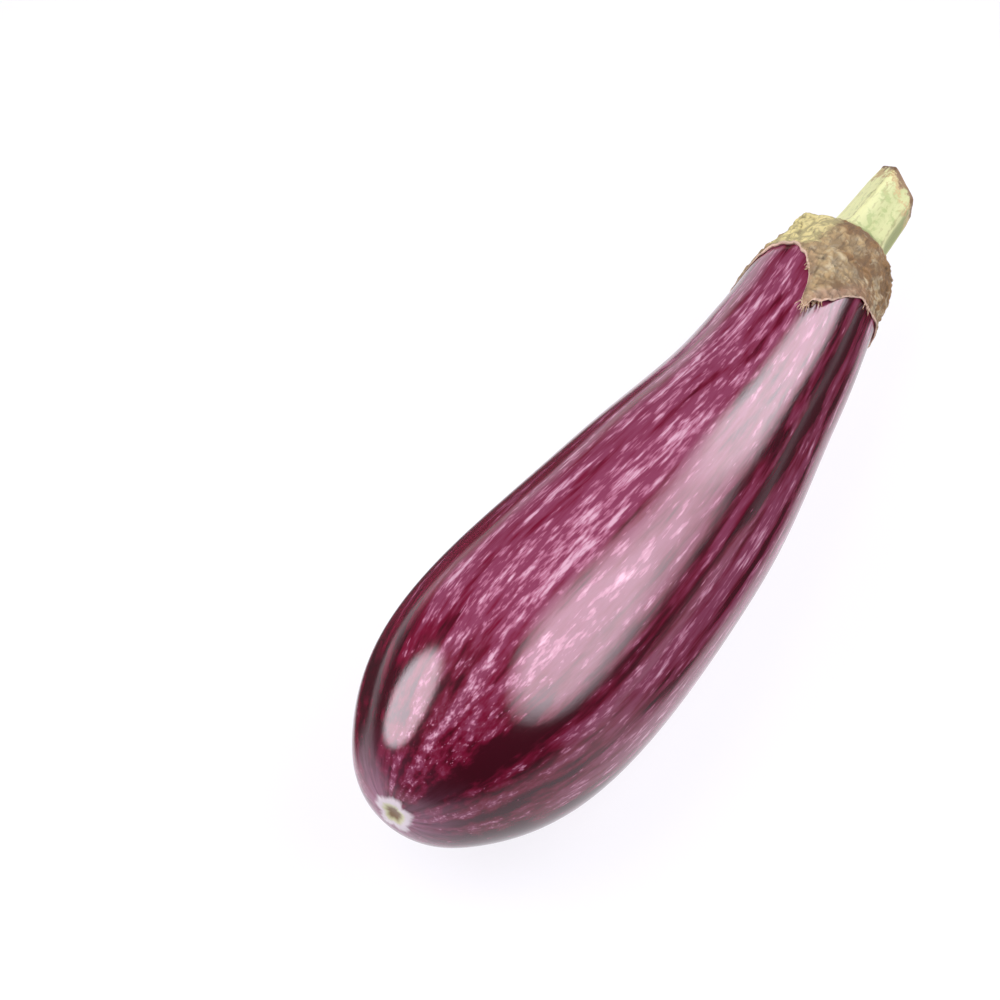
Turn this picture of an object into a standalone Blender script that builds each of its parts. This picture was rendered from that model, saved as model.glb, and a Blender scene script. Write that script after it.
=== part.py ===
"""A striped eggplant lying on its side, picked with its calyx and a short cut stem.

Three pieces grow along one bowed line: the fruit, the dried calyx that clasps its
shoulder, and the ribbed stem that stands in the calyx's crown. Everything is worked
out in the growing frame, where +X runs from the blossom end to the stem, distances
are measured along the axis, and an angle of 90 degrees round the axis is the top.
An empty then lays the whole thing down, so that it rests on a small flat spot.
"""

import math
from bisect import bisect_right

import bmesh
import bpy
from mathutils import Matrix, Vector, noise

# Fruit, in metres: distances run from the blossom end
FRUIT_LENGTH = 0.1867
PROFILE = (  # (distance, radius) from the blossom end to under the calyx
    (0.0, 0.0),
    (0.005, 0.0132),
    (0.012, 0.0191),
    (0.020, 0.0237),
    (0.032, 0.0278),
    (0.048, 0.0296),
    (0.062, 0.0294),
    (0.076, 0.0284),
    (0.092, 0.0269),
    (0.108, 0.0250),
    (0.1245, 0.0222),
    (0.1405, 0.0196),
    (0.1535, 0.0181),
    (0.1635, 0.0169),
    (0.1695, 0.0163),
    (FRUIT_LENGTH, 0.0155),
)
SHOULDER_AT = 0.1692
SHOULDER_POWER = 2.6
LUMP = 0.008  # share of the radius by which the round section is uneven
SCAR_RADIUS = 0.0042  # the dimple where the flower sat
SCAR_DEPTH = 0.0008

# Growing line: a bow to one side, then a turn into the stem
BOW_LENGTH = 0.1862
BOW = (-0.0102, -0.01568, 0.02703)  # weights of the first, second and third powers
NECK_AT = 0.1652
TURN_LENGTH = 0.016
STEM_TURN = math.radians(-8.4)
STEM_RISE = math.radians(3.0)
LINE_END = 0.215

# Lying down
LIE_TILT = math.radians(5.2)
FLAT_DEPTH = 0.0006

# Calyx
GAP = 0.0003  # between pieces that touch
CROWN_AT = 0.1911
CAP_FROM = 0.1702
CAP = (  # (distance, radius) of the calyx over the shoulder, up to the stem's foot
    (0.1732, 0.01655),
    (0.1772, 0.01565),
    (0.1802, 0.0152),
    (0.1832, 0.0146),
    (0.1867, 0.0135),
    (0.1886, 0.0123),
    (0.1900, 0.0110),
    (CROWN_AT, 0.0097),
)
LOBE_WALL = 0.0006
RIM_LIFT = 0.00035  # how far the dried rim curls off the skin
RIM_LENGTH = 0.0025
RIDGE = 0.0006
WRINKLE = 0.00035
KNUCKLE = 0.0009  # a thick sepal root that stands out at one side of the shoulder
KNUCKLE_ANGLE = 46
KNUCKLE_AT = 0.1868
LOBE_EDGE = (  # (angle, distance): four torn tips with arches between them
    (6, 0.1656),
    (16, 0.1682),
    (27, 0.1707),
    (38, 0.1728),
    (52, 0.1740),
    (64, 0.1742),
    (76, 0.1725),
    (88, 0.1686),
    (95, 0.1638),
    (99, 0.1574),
    (103, 0.1555),
    (109, 0.1582),
    (118, 0.1612),
    (128, 0.1662),
    (142, 0.1694),
    (160, 0.1702),
    (178, 0.1720),
    (196, 0.1716),
    (209, 0.1677),
    (222, 0.1587),
    (235, 0.1662),
    (252, 0.1717),
    (268, 0.1692),
    (282, 0.1612),
    (290, 0.1577),
    (300, 0.1624),
    (315, 0.1702),
    (330, 0.1724),
    (345, 0.1702),
    (358, 0.1667),
)
SEPALS = (6, 46, 106, 164, 222, 290)  # angles of the sepals' midribs
RAGGED = 0.0007

# Stem
STEM_END = 0.2138
ROOT_RADIUS = 0.0054
STEM_PROFILE = (  # (distance above the crown, radius over the ribs)
    (0.0, 0.0096),
    (0.0015, 0.0088),
    (0.004, 0.0081),
    (0.008, 0.0077),
    (0.0135, 0.0074),
    (0.018, 0.0072),
    (0.0228, 0.0067),
)
RIBS = 5
FIRST_RIB = 77
RIB_HEIGHT = 0.17  # share of the stem's radius
CUT_SLANT = 0.6
CUT_HIGH_SIDE = -5
CUT_ROUND = 0.0005
CUT_DISH = 0.0004

# Facets
FRUIT_SIDES = 48
FRUIT_RINGS = 42
CALYX_SIDES = 90
OUTER_STEPS = 14
INNER_STEPS = 8
STEM_SIDES = 40
STEM_RINGS = 15


def smooth_curve(stations, at):
    """The height at `at` of a curve that runs through the stations without overshooting them."""
    xs = [x for x, _ in stations]
    ys = [y for _, y in stations]
    if at <= xs[0]:
        return ys[0]
    if at >= xs[-1]:
        return ys[-1]
    slopes = [(ys[i + 1] - ys[i]) / (xs[i + 1] - xs[i]) for i in range(len(xs) - 1)]
    i = bisect_right(xs, at) - 1

    def tangent(k):
        if k == 0 or k == len(xs) - 1:
            return 0.0
        before, after = slopes[k - 1], slopes[k]
        return 0.0 if before * after <= 0 else 2 * before * after / (before + after)

    width = xs[i + 1] - xs[i]
    t = (at - xs[i]) / width
    rise = ys[i] * (1 + 2 * t) * (1 - t) ** 2 + ys[i + 1] * t * t * (3 - 2 * t)
    return rise + width * (tangent(i) * t * (1 - t) ** 2 - tangent(i + 1) * t * t * (1 - t))


def steady_curve(stations):
    """A function for the curve of even bend through the stations, for shiny surfaces."""
    xs = [x for x, _ in stations]
    ys = [y for _, y in stations]
    n = len(xs)
    widths = [xs[i + 1] - xs[i] for i in range(n - 1)]
    bends = [0.0] * n
    upper = [0.0] * n
    for i in range(1, n - 1):
        jump = (ys[i + 1] - ys[i]) / widths[i] - (ys[i] - ys[i - 1]) / widths[i - 1]
        pivot = 2 * (widths[i - 1] + widths[i]) - widths[i - 1] * upper[i - 1]
        upper[i] = widths[i] / pivot
        bends[i] = (6 * jump - widths[i - 1] * bends[i - 1]) / pivot
    for i in range(n - 2, 0, -1):
        bends[i] -= upper[i] * bends[i + 1]

    def at(x):
        i = min(max(bisect_right(xs, x) - 1, 0), n - 2)
        left, right = xs[i + 1] - x, x - xs[i]
        cubic = bends[i] * left**3 + bends[i + 1] * right**3
        line = (ys[i] / widths[i] - bends[i] * widths[i] / 6) * left
        line += (ys[i + 1] / widths[i] - bends[i + 1] * widths[i] / 6) * right
        return cubic / (6 * widths[i]) + line

    return at


# The blunt end is even in the root of the distance
profile_curve = steady_curve([(math.sqrt(x), r) for x, r in PROFILE])


def bow_at(distance):
    t = distance / BOW_LENGTH
    return t * (BOW[0] + t * (BOW[1] + t * BOW[2]))


def growing_line(distance):
    """The point on the line and its direction, at a distance from the blossom end."""
    step = 1e-4
    slope = (bow_at(NECK_AT) - bow_at(NECK_AT - step)) / step
    if distance <= NECK_AT:
        slope = (bow_at(distance + step) - bow_at(distance - step)) / (2 * step)
        return Vector((distance, bow_at(distance), 0.0)), Vector((1.0, slope, 0.0)).normalized()
    past = distance - NECK_AT
    ramp = min(past, TURN_LENGTH)
    rise = STEM_RISE * past / (LINE_END - NECK_AT)
    turned = STEM_TURN * (ramp * ramp / (2 * TURN_LENGTH) + past - ramp)
    point = Vector((distance, bow_at(NECK_AT) + past * slope + turned, past * rise / 2))
    return point, Vector((1.0, slope + STEM_TURN * ramp / TURN_LENGTH, rise)).normalized()


def on_section(distance, angle, radius):
    """The point at this angle and radius on the cross section through the line."""
    centre, ahead = growing_line(distance)
    side = Vector((0.0, 0.0, 1.0)).cross(ahead).normalized()
    up = ahead.cross(side)
    return centre + radius * (math.cos(angle) * side + math.sin(angle) * up)


def fruit_radius(distance, angle):
    distance = min(max(distance, 0.0), FRUIT_LENGTH)
    radius = profile_curve(math.sqrt(distance))
    if distance > SHOULDER_AT:
        share = (distance - SHOULDER_AT) / (FRUIT_LENGTH - SHOULDER_AT)
        radius *= math.sqrt(max(0.0, 1 - share**SHOULDER_POWER))
    uneven = math.cos(2 * angle + 0.7) + 0.6 * math.cos(3 * angle + 25 * distance)
    return radius * (1 + LUMP * uneven)


def stem_radius(distance, angle):
    """The stem above the crown: a flared foot and five ribs that run out to the cut end."""
    radius = smooth_curve(STEM_PROFILE, distance - CROWN_AT)
    groove = math.sqrt(math.sin(RIBS * (angle - math.radians(FIRST_RIB)) / 2) ** 2 + 0.02)
    return radius * (1 - RIB_HEIGHT * groove)


def lobe_edge(angle):
    """How far down the fruit the calyx reaches at this angle, with its torn edge."""
    degrees = math.degrees(angle) % 360
    first = LOBE_EDGE[0]
    around = LOBE_EDGE + ((first[0] + 360, first[1]),)
    if degrees < first[0]:
        degrees += 360
    edge = smooth_curve(around, degrees)
    torn = noise.noise(Vector((math.cos(angle), math.sin(angle), 0.3)) * 9)
    return edge + RAGGED * torn


def apart(angle, degrees):
    return (math.degrees(angle) - degrees + 180) % 360 - 180


def sepal_relief(distance, angle, edge):
    """Ridges down the sepals' midribs, seams between them, and dried wrinkles."""
    nearest = min(abs(apart(angle, s)) for s in SEPALS)
    rib = math.exp(-((nearest / 9) ** 2)) - 0.5 * math.exp(-(((nearest - 36) / 9) ** 2))
    along = math.sin(math.pi * (distance - edge) / (CROWN_AT - edge))
    spot = Vector((math.cos(angle) * 5, math.sin(angle) * 5, distance * 160))
    side = (apart(angle, KNUCKLE_ANGLE) / 16) ** 2
    knuckle = KNUCKLE * math.exp(-side - ((distance - KNUCKLE_AT) / 0.0032) ** 2)
    return along * (RIDGE * rib + WRINKLE * noise.noise(spot)) + knuckle


def rim_lift(distance, edge):
    return RIM_LIFT * math.exp(-(((distance - edge) / RIM_LENGTH) ** 2))


def calyx_outer(distance, angle, edge):
    snug = fruit_radius(min(distance, CAP_FROM), angle) + GAP + LOBE_WALL
    if distance > CAP_FROM:
        share = min(1.0, (distance - CAP_FROM) / (CAP[0][0] - CAP_FROM))
        snug += (smooth_curve(CAP, distance) - snug) * share
    return snug + rim_lift(distance, edge) + sepal_relief(distance, angle, edge)


def clear_scene():
    for thing in list(bpy.data.objects):
        bpy.data.objects.remove(thing, do_unlink=True)


def finish(name, colour, roughness):
    material = bpy.data.materials.new(name)
    material.use_nodes = True
    shader = material.node_tree.nodes["Principled BSDF"]
    shader.inputs["Base Color"].default_value = (*colour, 1.0)
    shader.inputs["Roughness"].default_value = roughness
    shader.inputs["Metallic"].default_value = 0.0
    return material


def object_from(name, mesh_in_progress, material):
    mesh = bpy.data.meshes.new(name)
    mesh_in_progress.to_mesh(mesh)
    mesh_in_progress.free()
    mesh.materials.append(material)
    mesh.shade_smooth()
    mesh.set_sharp_from_angle(angle=math.radians(40))
    thing = bpy.data.objects.new(name, mesh)
    bpy.context.scene.collection.objects.link(thing)
    return thing


def skin_rings(grown, rings):
    """Side faces between neighbouring rings of vertices."""
    for lower, upper in zip(rings, rings[1:]):
        for k in range(len(lower)):
            nxt = (k + 1) % len(lower)
            grown.faces.new((lower[k], lower[nxt], upper[nxt], upper[k]))


def close_with_point(grown, ring, point, first):
    tip = grown.verts.new(point)
    for k in range(len(ring)):
        nxt = (k + 1) % len(ring)
        face = (tip, ring[nxt], ring[k]) if first else (tip, ring[k], ring[nxt])
        grown.faces.new(face)


def scar_sink(radius):
    """How far the blossom end is drawn in at this radius."""
    return SCAR_DEPTH * max(0.0, 1 - (radius / SCAR_RADIUS) ** 2) ** 2


def build_fruit(resting_plane):
    grown = bmesh.new()
    rings = []
    for i in range(1, FRUIT_RINGS):
        distance = FRUIT_LENGTH * (1 - math.cos(math.pi * i / FRUIT_RINGS)) / 2
        ring = []
        for k in range(FRUIT_SIDES):
            angle = 2 * math.pi * k / FRUIT_SIDES
            ring.append(grown.verts.new(on_section(distance, angle, fruit_radius(distance, angle))))
        rings.append(ring)
    blossom = []
    for share in (0.24, 0.5, 0.8):
        radius = SCAR_RADIUS * share
        sunk = scar_sink(radius) + end_bulge(radius)
        blossom.append(
            [
                grown.verts.new(on_section(sunk, 2 * math.pi * k / FRUIT_SIDES, radius))
                for k in range(FRUIT_SIDES)
            ]
        )
    rings = blossom + rings
    skin_rings(grown, rings)
    close_with_point(grown, rings[0], on_section(scar_sink(0.0), 0.0, 0.0), first=True)
    close_with_point(grown, rings[-1], on_section(FRUIT_LENGTH, 0.0, 0.0), first=False)
    point, down = resting_plane
    cut = bmesh.ops.bisect_plane(
        grown,
        geom=grown.verts[:] + grown.edges[:] + grown.faces[:],
        dist=1e-6,
        plane_co=point,
        plane_no=down,
        clear_outer=True,
    )
    rim = [e for e in cut["geom_cut"] if isinstance(e, bmesh.types.BMEdge)]
    bmesh.ops.holes_fill(grown, edges=rim, sides=0)
    bmesh.ops.recalc_face_normals(grown, faces=grown.faces[:])
    return object_from("fruit", grown, finish("fruit_skin", (0.16, 0.012, 0.055), 0.22))


def end_bulge(radius):
    """The distance at which the blunt end has this radius."""
    near, far = 0.0, PROFILE[1][0]
    for _ in range(40):
        middle = (near + far) / 2
        near, far = (middle, far) if profile_curve(math.sqrt(middle)) < radius else (near, middle)
    return near


def build_calyx():
    grown = bmesh.new()
    sections = []
    hole = ROOT_RADIUS + GAP
    top = FRUIT_LENGTH + 2 * GAP
    for k in range(CALYX_SIDES):
        angle = 2 * math.pi * k / CALYX_SIDES
        edge = lobe_edge(angle)
        points = []
        for i in range(OUTER_STEPS + 1):
            at = CROWN_AT - (CROWN_AT - edge) * (i / OUTER_STEPS) ** 1.2
            points.append(on_section(at, angle, calyx_outer(at, angle, edge)))
        for i in range(INNER_STEPS):
            at = edge + (FRUIT_LENGTH - edge) * math.sin(i / INNER_STEPS * math.pi / 2)
            radius = max(fruit_radius(at, angle), ROOT_RADIUS) + GAP + rim_lift(at, edge)
            points.append(on_section(at + 2 * GAP * (at - edge) / (top - edge), angle, radius))
        points.append(on_section(top, angle, hole))
        points.append(on_section((top + CROWN_AT) / 2, angle, hole))
        points.append(on_section(CROWN_AT - GAP, angle, hole))
        sections.append([grown.verts.new(p) for p in points])
    for k in range(CALYX_SIDES):
        here, there = sections[k], sections[(k + 1) % CALYX_SIDES]
        for i in range(len(here)):
            nxt = (i + 1) % len(here)
            grown.faces.new((here[i], here[nxt], there[nxt], there[i]))
    bmesh.ops.recalc_face_normals(grown, faces=grown.faces[:])
    return object_from("calyx", grown, finish("dried_calyx", (0.42, 0.32, 0.17), 0.8))


def cut_height(radius, angle):
    return CUT_SLANT * radius * math.cos(angle - math.radians(CUT_HIGH_SIDE))


def build_stem():
    grown = bmesh.new()
    angles = [2 * math.pi * k / STEM_SIDES for k in range(STEM_SIDES)]
    foot = FRUIT_LENGTH + 3 * GAP
    rings = []

    def add_ring(distances, radii):
        points = [on_section(d, a, r) for d, a, r in zip(distances, angles, radii)]
        rings.append([grown.verts.new(p) for p in points])

    for at in (foot, (foot + CROWN_AT) / 2, CROWN_AT + GAP / 2):
        add_ring([at] * STEM_SIDES, [ROOT_RADIUS] * STEM_SIDES)
    start = CROWN_AT + GAP
    for i in range(STEM_RINGS + 1):
        share = i / STEM_RINGS
        plain = start + (STEM_END - start) * share**1.2
        radii = [stem_radius(plain, a) for a in angles]
        add_ring([plain + cut_height(r, a) * share**3 for r, a in zip(radii, angles)], radii)
    for share, above in ((0.88, CUT_ROUND), (0.6, CUT_ROUND - CUT_DISH / 2), (0.3, CUT_ROUND - CUT_DISH)):
        radii = [share * stem_radius(STEM_END, a) for a in angles]
        add_ring([STEM_END + above + cut_height(r, a) for r, a in zip(radii, angles)], radii)
    skin_rings(grown, rings)
    grown.faces.new(rings[0])
    close_with_point(grown, rings[-1], on_section(STEM_END + CUT_ROUND - CUT_DISH, 0.0, 0.0), first=False)
    bmesh.ops.recalc_face_normals(grown, faces=grown.faces[:])
    return object_from("stem", grown, finish("green_stem", (0.36, 0.44, 0.14), 0.6))


def lay_down():
    """The tilt and height at which the fruit rests on its flat spot, centred on the origin."""
    tilt = Matrix.Rotation(LIE_TILT, 4, "Y")
    steps = 400
    lowest = min(
        (tilt @ on_section(d, math.radians(270), fruit_radius(d, math.radians(270)))).z
        for d in (FRUIT_LENGTH * i / steps for i in range(steps + 1))
    )
    lift = Matrix.Translation((0.0, 0.0, -lowest - FLAT_DEPTH))
    return lift @ tilt


def centre_on_origin(carrier, pieces):
    bpy.context.view_layer.update()
    corners = [p.matrix_world @ v.co for p in pieces for v in p.data.vertices]
    for axis in (0, 1):
        values = [c[axis] for c in corners]
        carrier.location[axis] -= (min(values) + max(values)) / 2


def main():
    clear_scene()
    lying = lay_down()
    into_growing = lying.inverted()
    resting_plane = (into_growing @ Vector((0, 0, 0)), into_growing.to_3x3() @ Vector((0, 0, -1)))
    carrier = bpy.data.objects.new("eggplant", None)
    bpy.context.scene.collection.objects.link(carrier)
    carrier.location = lying.to_translation()
    carrier.rotation_euler = lying.to_euler()
    pieces = [build_fruit(resting_plane), build_calyx(), build_stem()]
    for piece in pieces:
        piece.parent = carrier
    centre_on_origin(carrier, pieces)


main()
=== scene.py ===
import math
from bisect import bisect_right

import bmesh
import bpy
from mathutils import Matrix, Vector, noise


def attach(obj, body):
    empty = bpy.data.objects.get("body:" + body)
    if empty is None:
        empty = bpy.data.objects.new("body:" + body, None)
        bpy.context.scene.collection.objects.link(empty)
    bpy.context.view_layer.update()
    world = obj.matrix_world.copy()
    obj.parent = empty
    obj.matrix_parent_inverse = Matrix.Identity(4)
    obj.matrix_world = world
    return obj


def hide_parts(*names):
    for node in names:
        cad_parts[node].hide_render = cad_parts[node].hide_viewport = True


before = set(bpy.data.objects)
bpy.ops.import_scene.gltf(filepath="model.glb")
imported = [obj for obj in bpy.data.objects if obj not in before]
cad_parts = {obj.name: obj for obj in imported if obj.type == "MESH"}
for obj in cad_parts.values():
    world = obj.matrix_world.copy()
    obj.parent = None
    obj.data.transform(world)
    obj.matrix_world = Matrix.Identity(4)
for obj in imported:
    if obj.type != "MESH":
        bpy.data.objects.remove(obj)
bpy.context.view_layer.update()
print("frame loaded")


# Fields and nodes

class Field:
    # a node's output that takes Python's operators, each of which adds its Math node
    def __init__(self, maker, socket):
        self.maker = maker
        self.socket = socket

    def math(self, operation, *others):
        return self.maker.add("ShaderNodeMath", {"operation": operation}, dict(enumerate((self, *others))))

    def flipped(self, operation, first):
        return self.maker.add("ShaderNodeMath", {"operation": operation}, {0: first, 1: self})

    def __add__(self, other):
        return self.math("ADD", other)

    def __sub__(self, other):
        return self.math("SUBTRACT", other)

    def __rsub__(self, other):
        return self.flipped("SUBTRACT", other)

    def __mul__(self, other):
        return self.math("MULTIPLY", other)

    def __truediv__(self, other):
        return self.math("DIVIDE", other)

    def __rtruediv__(self, other):
        return self.flipped("DIVIDE", other)

    def __pow__(self, other):
        return self.math("POWER", other)

    __radd__ = __add__
    __rmul__ = __mul__

    def atMost(self, other):
        return self.math("MINIMUM", other)

    def atLeast(self, other):
        return self.math("MAXIMUM", other)

    def within(self):
        return self.atLeast(0.0).atMost(1.0)

    def vector(self, operation, values, output=0):
        return self.maker.add("ShaderNodeVectorMath", {"operation": operation}, {0: self, **values}, output)

    def plus(self, other):
        return self.vector("ADD", {1: other})

    def minus(self, other):
        return self.vector("SUBTRACT", {1: other})

    def scaled(self, by):
        return self.vector("SCALE", {3: by})

    def cross(self, other):
        return self.vector("CROSS_PRODUCT", {1: other})

    def dot(self, other):
        return self.vector("DOT_PRODUCT", {1: other}, 1)

    def unit(self):
        return self.vector("NORMALIZE", {})

    def parts(self):
        split = self.maker.add("ShaderNodeSeparateXYZ", {}, {0: self})
        return [Field(self.maker, output) for output in split.socket.node.outputs]


class Maker:
    # adds nodes to one tree: settings first, then what its sockets are given
    def __init__(self, tree):
        self.tree = tree

    def add(self, kind, settings=None, values=None, output=0):
        node = self.tree.nodes.new(kind)
        for name, setting in (settings or {}).items():
            if name == "captures":
                for label, sort in setting.items():
                    node.capture_items.new(sort, label)
            else:
                setattr(node, name, setting)
        for name, value in (values or {}).items():
            if isinstance(value, Field):
                self.tree.links.new(value.socket, node.inputs[name])
            else:
                node.inputs[name].default_value = value
        return Field(self, node.outputs[output])

    def join(self, x, y, z):
        return self.add("ShaderNodeCombineXYZ", {}, {0: x, 1: y, 2: z})

    def rise(self, value, low, high):
        # 0 below low and 1 above high, with a smooth rise between them
        return self.add(
            "ShaderNodeMapRange",
            {"interpolation_type": "SMOOTHSTEP"},
            {0: value, 1: low, 2: high, 3: 0.0, 4: 1.0},
        )

    def mix(self, share, first, second):
        return self.add("ShaderNodeMix", {"data_type": "RGBA"}, {0: share, 6: first, 7: second}, 2)

    def cloud(self, place, scale=1.0, detail=2.0, rough=0.5, wobble=0.0):
        return self.add(
            "ShaderNodeTexNoise",
            {"noise_dimensions": "3D"},
            {"Vector": place, "Scale": scale, "Detail": detail, "Roughness": rough, "Distortion": wobble},
        )

    def cloudVector(self, place, scale):
        noiseNode = self.cloud(place, scale).socket.node
        return Field(self, noiseNode.outputs["Color"]).minus((0.5, 0.5, 0.5))


def ink(red, green, blue):
    # a display colour, 0 to 255, as the shader's linear colour
    def linear(value):
        value /= 255
        return value / 12.92 if value <= 0.04045 else ((value + 0.055) / 1.055) ** 2.4

    return (linear(red), linear(green), linear(blue), 1.0)


def addObject(name, data):
    thing = bpy.data.objects.new(name, data)
    bpy.context.scene.collection.objects.link(thing)
    return thing


# Camera

cameraView = {
    "eye": (-0.456083, -0.263740, 0.763043),
    "target": (-0.027152, 0.0286, 0.0300),
    "roll": 2.4776,  # degrees
    "lens": 148.12,  # mm, as the sensor's width is
    "sensor": 36.0,
    "nearest": 0.01,
}


def placeCamera():
    data = bpy.data.cameras.new("camera")
    data.lens = cameraView["lens"]
    data.sensor_width = cameraView["sensor"]
    data.clip_start = cameraView["nearest"]
    camera = addObject("camera", data)
    eye = Vector(cameraView["eye"])
    aim = Vector(cameraView["target"]) - eye
    roll = Matrix.Rotation(-math.radians(cameraView["roll"]), 3, "Z")
    turn = aim.to_track_quat("-Z", "Y").to_matrix() @ roll
    camera.matrix_world = Matrix.Translation(eye) @ turn.to_4x4()
    bpy.context.scene.camera = camera


placeCamera()
print("camera placed")


# Growing line: metres from the blossom end, and angles of 90 degrees at the top and 0 on the +Y side

growth = {
    "pole": (-0.108432, 0.00353, 0.03430),  # the blossom end in the frame
    "lieTilt": 5.2,  # degrees
    "bowLength": 0.1862,
    "bow": (-0.0102, -0.01568, 0.02703),  # weights of the first, second and third powers
    "neckAt": 0.1652,
    "turnLength": 0.016,
    "stemTurn": math.radians(-8.4),
    "stemRise": math.radians(3.0),
    "lineEnd": 0.215,
}
lying = Matrix.Rotation(math.radians(growth["lieTilt"]), 3, "Y")
growingUp = lying @ Vector((0, 0, 1))


def bowAt(distance):
    first, second, third = growth["bow"]
    t = distance / growth["bowLength"]
    return t * (first + t * (second + t * third))


def growingLine(distance):
    # the line's point in the frame, and its direction
    step = 1e-4
    neck = growth["neckAt"]
    slope = (bowAt(neck) - bowAt(neck - step)) / step
    if distance <= neck:
        slope = (bowAt(distance + step) - bowAt(distance - step)) / (2 * step)
        point, ahead = Vector((distance, bowAt(distance), 0)), Vector((1, slope, 0))
    else:
        past = distance - neck
        ramp = min(past, growth["turnLength"])
        rise = growth["stemRise"] * past / (growth["lineEnd"] - neck)
        turned = growth["stemTurn"] * (ramp * ramp / (2 * growth["turnLength"]) + past - ramp)
        point = Vector((distance, bowAt(neck) + past * slope + turned, past * rise / 2))
        ahead = Vector((1, slope + growth["stemTurn"] * ramp / growth["turnLength"], rise))
    return Vector(growth["pole"]) + lying @ point, lying @ ahead.normalized()


def onSection(distance, angle, radius):
    centre, ahead = growingLine(distance)
    side = growingUp.cross(ahead).normalized()
    top = ahead.cross(side)
    return centre + radius * (math.cos(angle) * side + math.sin(angle) * top)


def evenCurve(stations):
    # a function for the curve of even bend through the stations
    xs = [x for x, _ in stations]
    ys = [y for _, y in stations]
    n = len(xs)
    widths = [xs[i + 1] - xs[i] for i in range(n - 1)]
    bends = [0.0] * n
    upper = [0.0] * n
    for i in range(1, n - 1):
        jump = (ys[i + 1] - ys[i]) / widths[i] - (ys[i] - ys[i - 1]) / widths[i - 1]
        pivot = 2 * (widths[i - 1] + widths[i]) - widths[i - 1] * upper[i - 1]
        upper[i] = widths[i] / pivot
        bends[i] = (6 * jump - widths[i - 1] * bends[i - 1]) / pivot
    for i in range(n - 2, 0, -1):
        bends[i] -= upper[i] * bends[i + 1]

    def at(x):
        i = min(max(bisect_right(xs, x) - 1, 0), n - 2)
        left, right = xs[i + 1] - x, x - xs[i]
        cubic = bends[i] * left**3 + bends[i + 1] * right**3
        line = (ys[i] / widths[i] - bends[i] * widths[i] / 6) * left
        line += (ys[i + 1] / widths[i] - bends[i + 1] * widths[i] / 6) * right
        return cubic / (6 * widths[i]) + line

    return at


def smoothCurve(stations, at):
    # the height at `at` of a curve that runs through the stations without overshooting them
    xs = [x for x, _ in stations]
    ys = [y for _, y in stations]
    if at <= xs[0]:
        return ys[0]
    if at >= xs[-1]:
        return ys[-1]
    slopes = [(ys[i + 1] - ys[i]) / (xs[i + 1] - xs[i]) for i in range(len(xs) - 1)]
    i = bisect_right(xs, at) - 1

    def tangent(k):
        if k == 0 or k == len(xs) - 1:
            return 0.0
        before, after = slopes[k - 1], slopes[k]
        return 0.0 if before * after <= 0 else 2 * before * after / (before + after)

    width = xs[i + 1] - xs[i]
    t = (at - xs[i]) / width
    rise = ys[i] * (1 + 2 * t) * (1 - t) ** 2 + ys[i + 1] * t * t * (3 - 2 * t)
    return rise + width * (tangent(i) * t * (1 - t) ** 2 - tangent(i + 1) * t * t * (1 - t))


def between(value, low, high):
    # the smooth rise of Maker.rise, on plain numbers
    t = min(max((value - low) / (high - low), 0.0), 1.0)
    return t * t * (3 - 2 * t)


# Swept pieces: Geometry Nodes sweep a circle along the growing line and shape each point of it

def lineObject(name, stations):
    # points on the growing line, each with its distance, the sweep's girth there and a shift along the line
    mesh = bpy.data.meshes.new(name)
    points = [growingLine(station[0])[0] for station in stations]
    mesh.from_pydata(points, [(i, i + 1) for i in range(len(points) - 1)], [])
    for label, column in (("along", 0), ("girth", 1), ("shift", 2)):
        layer = mesh.attributes.new(label, "FLOAT", "POINT")
        layer.data.foreach_set("value", [station[column] for station in stations])
    return addObject(name, mesh)


def newTree(name, inputs):
    # a Geometry Nodes tree with a named input for each size, and the fields that read them
    tree = bpy.data.node_groups.new(name, "GeometryNodeTree")
    tree.interface.new_socket("Geometry", in_out="INPUT", socket_type="NodeSocketGeometry")
    for label, value in inputs.items():
        sort = {int: "Int", float: "Float", Vector: "Vector", bpy.types.Material: "Material"}[type(value)]
        tree.interface.new_socket(label, in_out="INPUT", socket_type="NodeSocket" + sort)
    tree.interface.new_socket("Geometry", in_out="OUTPUT", socket_type="NodeSocketGeometry")
    maker = Maker(tree)
    node = maker.add("NodeGroupInput").socket.node
    given = {socket.name: Field(maker, socket) for socket in node.outputs if socket.name}
    return tree, maker, given


def endTree(maker, geometry, finish):
    real = maker.add("GeometryNodeRealizeInstances", {}, {0: geometry})
    finished = maker.add("GeometryNodeSetMaterial", {}, {0: real, "Material": finish})
    end = maker.tree.nodes.new("NodeGroupOutput")
    maker.tree.links.new(finished.socket, end.inputs[0])


def bakeTree(thing, tree, inputs):
    # runs the tree on the object and keeps its result as a plain mesh
    modifier = thing.modifiers.new(tree.name, "NODES")
    modifier.node_group = tree
    for item in tree.interface.items_tree:
        if item.in_out == "INPUT" and item.name in inputs:
            modifier[item.identifier] = inputs[item.name]
    depsgraph = bpy.context.evaluated_depsgraph_get()
    mesh = bpy.data.meshes.new_from_object(
        thing.evaluated_get(depsgraph), preserve_all_data_layers=True, depsgraph=depsgraph
    )
    thing.modifiers.clear()
    thing.data = mesh
    return thing


def faceOutwards(thing):
    shell = bmesh.new()
    shell.from_mesh(thing.data)
    bmesh.ops.recalc_face_normals(shell, faces=shell.faces[:])
    shell.to_mesh(thing.data)
    shell.free()


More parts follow.
